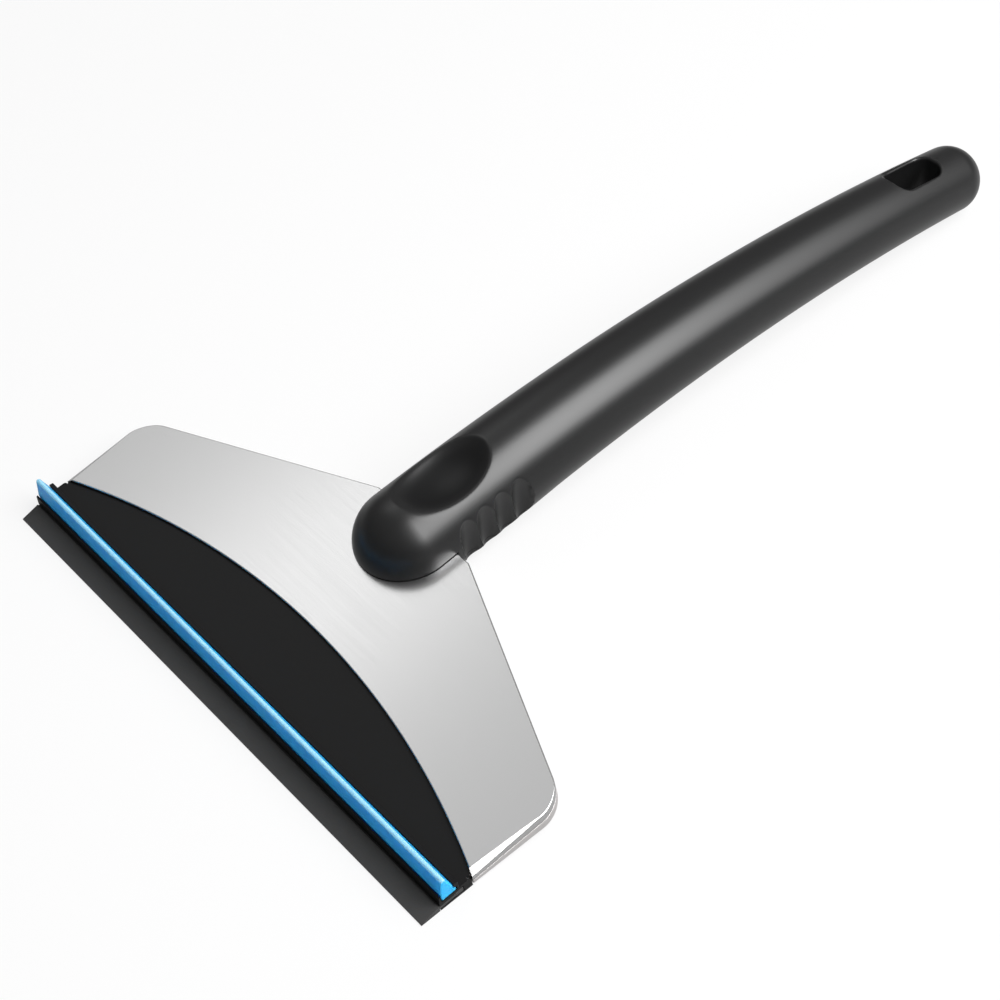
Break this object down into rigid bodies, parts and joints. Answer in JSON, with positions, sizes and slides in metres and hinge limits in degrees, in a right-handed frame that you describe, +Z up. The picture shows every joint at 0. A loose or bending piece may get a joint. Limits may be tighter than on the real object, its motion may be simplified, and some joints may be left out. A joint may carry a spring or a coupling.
{
  "type": "ice scraper",
  "caption": "Hand ice scraper: wide steel-clad head with a rubber blade and a blue strip, on a curved moulded handle with thumb recess, side flutes and a hanging slot.",
  "frame": {"origin": "centre of the footprint, at the height of the surface that the scraper lies on", "axes": "+X along the blade, +Y from the blade towards the end of the handle, +Z up"},
  "size_m": [0.1586, 0.258, 0.0275],
  "materials": {
    "blade_rubber": "matte",
    "strip_plastic": "satin",
    "core_plastic": "satin moulded",
    "plate_steel": "satin",
    "grip_plastic": "satin",
    "screw_steel": "zinc plated"
  },
  "bodies": {
    "scraper": {"head_core": "core_plastic", "face_plate": "plate_steel", "back_plate": "plate_steel", "blue_strip": "strip_plastic", "handle_body": "grip_plastic", "underside_cover": "core_plastic", "back_screw_1": "screw_steel", "back_screw_2": "screw_steel", "back_screw_3": "screw_steel", "back_screw_4": "screw_steel", "clamp_screw_1": "screw_steel", "clamp_screw_2": "screw_steel", "cover_screw_1": "screw_steel", "cover_screw_2": "screw_steel"},
    "blade": {"rubber_blade": "blade_rubber"}
  },
  "joints": [
    {"name": "blade_slide", "type": "slide", "parent": "scraper", "child": "blade", "axis": [1, 0, 0], "range_m": [-0.15, 0.15]}
  ]
}
